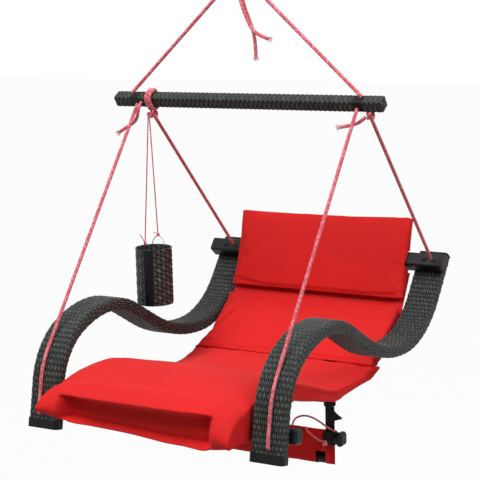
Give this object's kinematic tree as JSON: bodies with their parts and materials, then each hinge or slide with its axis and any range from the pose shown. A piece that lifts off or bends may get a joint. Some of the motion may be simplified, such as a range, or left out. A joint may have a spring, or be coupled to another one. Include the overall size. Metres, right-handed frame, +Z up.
{
  "type": "hanging swing lounger",
  "caption": "Hanging swing lounger: woven S-shaped arms carry a padded sling seat on ropes from a spreader bar, with a stowed footrest and a hanging drink holder.",
  "frame": {"origin": "inside top of the hanging ring, where the hook bears", "axes": "+X across the seat towards the right of the front view, -Y the front, where the sitter's legs go, +Z up"},
  "size_m": [0.763, 1.0589, 1.3493],
  "materials": {
    "steel": "bright wire",
    "black_bolt": "satin black",
    "black_steel": "satin black tube",
    "rope": "braided, white flecks",
    "cup_cord": "braided",
    "wicker": "woven flat strips",
    "core_wood": "stained black",
    "black_plastic": "moulded",
    "red_cloth": "plain weave with a slight sheen",
    "webbing": "ribbed webbing"
  },
  "bodies": {
    "hanger": {"hanging_ring": "steel"},
    "rope_link": {"rope_ring": "steel"},
    "bridle": {"bridle_eye": "rope", "bridle_knot": "rope", "bridle_tail_long": "rope", "bridle_tail_short": "rope", "bridle_rope_left": "rope", "bridle_rope_right": "rope"},
    "chair": {"spreader_core": "core_wood", "spreader_sleeve": "wicker", "rear_hitch_left": "rope", "front_tail_left": "rope", "rear_tail_right": "rope", "front_bar": "core_wood", "front_bar_bolts": "black_bolt", "front_bar_pocket": "red_cloth", "rear_bar": "black_steel", "rear_bar_bolts": "black_bolt", "rear_bar_pocket": "red_cloth", "sling": "red_cloth", "head_cushion": "red_cloth", "lumbar_cushion": "red_cloth", "seat_cushion": "red_cloth", "strap_anchors": "webbing", "spreader_cap_left": "wicker", "spreader_cap_right": "wicker", "rear_knot_left": "rope", "rear_knot_right": "rope", "front_rope_left": "rope", "front_rope_right": "rope", "front_rope_stop_left": "rope", "front_rope_stop_right": "rope", "rear_rope_left": "rope", "rear_rope_right": "rope", "arm_core_left": "core_wood", "arm_core_right": "core_wood", "arm_sleeve_left": "wicker", "arm_sleeve_right": "wicker", "foot_cap_left": "black_plastic", "foot_cap_right": "black_plastic", "arm_end_cap_left": "black_plastic", "arm_end_cap_right": "black_plastic", "front_bar_cap_left": "black_plastic", "front_bar_cap_right": "black_plastic", "rear_bar_cap_left": "black_plastic", "rear_bar_cap_right": "black_plastic"},
    "footrest": {"footrest_bar": "core_wood", "footrest_panel": "red_cloth", "footrest_dowel": "core_wood", "footrest_cord": "rope", "footrest_cap_left": "black_plastic", "footrest_cap_right": "black_plastic", "footrest_strap_left": "webbing", "footrest_strap_right": "webbing"},
    "cup_holder": {"cup_basket": "wicker", "cup_floor": "black_plastic", "cup_arch": "steel", "cup_knot": "cup_cord", "cup_cord_left": "cup_cord", "cup_cord_right": "cup_cord"}
  },
  "joints": [
    {"name": "swing", "type": "hinge", "parent": "hanger", "child": "rope_link", "pos_m": [0, 0, -0.054], "axis": [1, 0, 0], "range_deg": [-25, 25]},
    {"name": "sway", "type": "hinge", "parent": "rope_link", "child": "bridle", "pos_m": [0, 0, -0.0935], "axis": [0, 1, 0], "range_deg": [-15, 15]},
    {"name": "tilt", "type": "hinge", "parent": "bridle", "child": "chair", "pos_m": [0, 0, -0.4264], "axis": [1, 0, 0], "range_deg": [-12, 12]},
    {"name": "cup_swing", "type": "hinge", "parent": "chair", "child": "cup_holder", "pos_m": [-0.2873, 0.0102, -0.4825], "axis": [0, 1, 0], "range_deg": [-20, 20]},
    {"name": "footrest_swing", "type": "hinge", "parent": "chair", "child": "footrest", "pos_m": [0, -0.0253, -1.19207], "axis": [1, 0, 0], "range_deg": [-20, 20]}
  ]
}
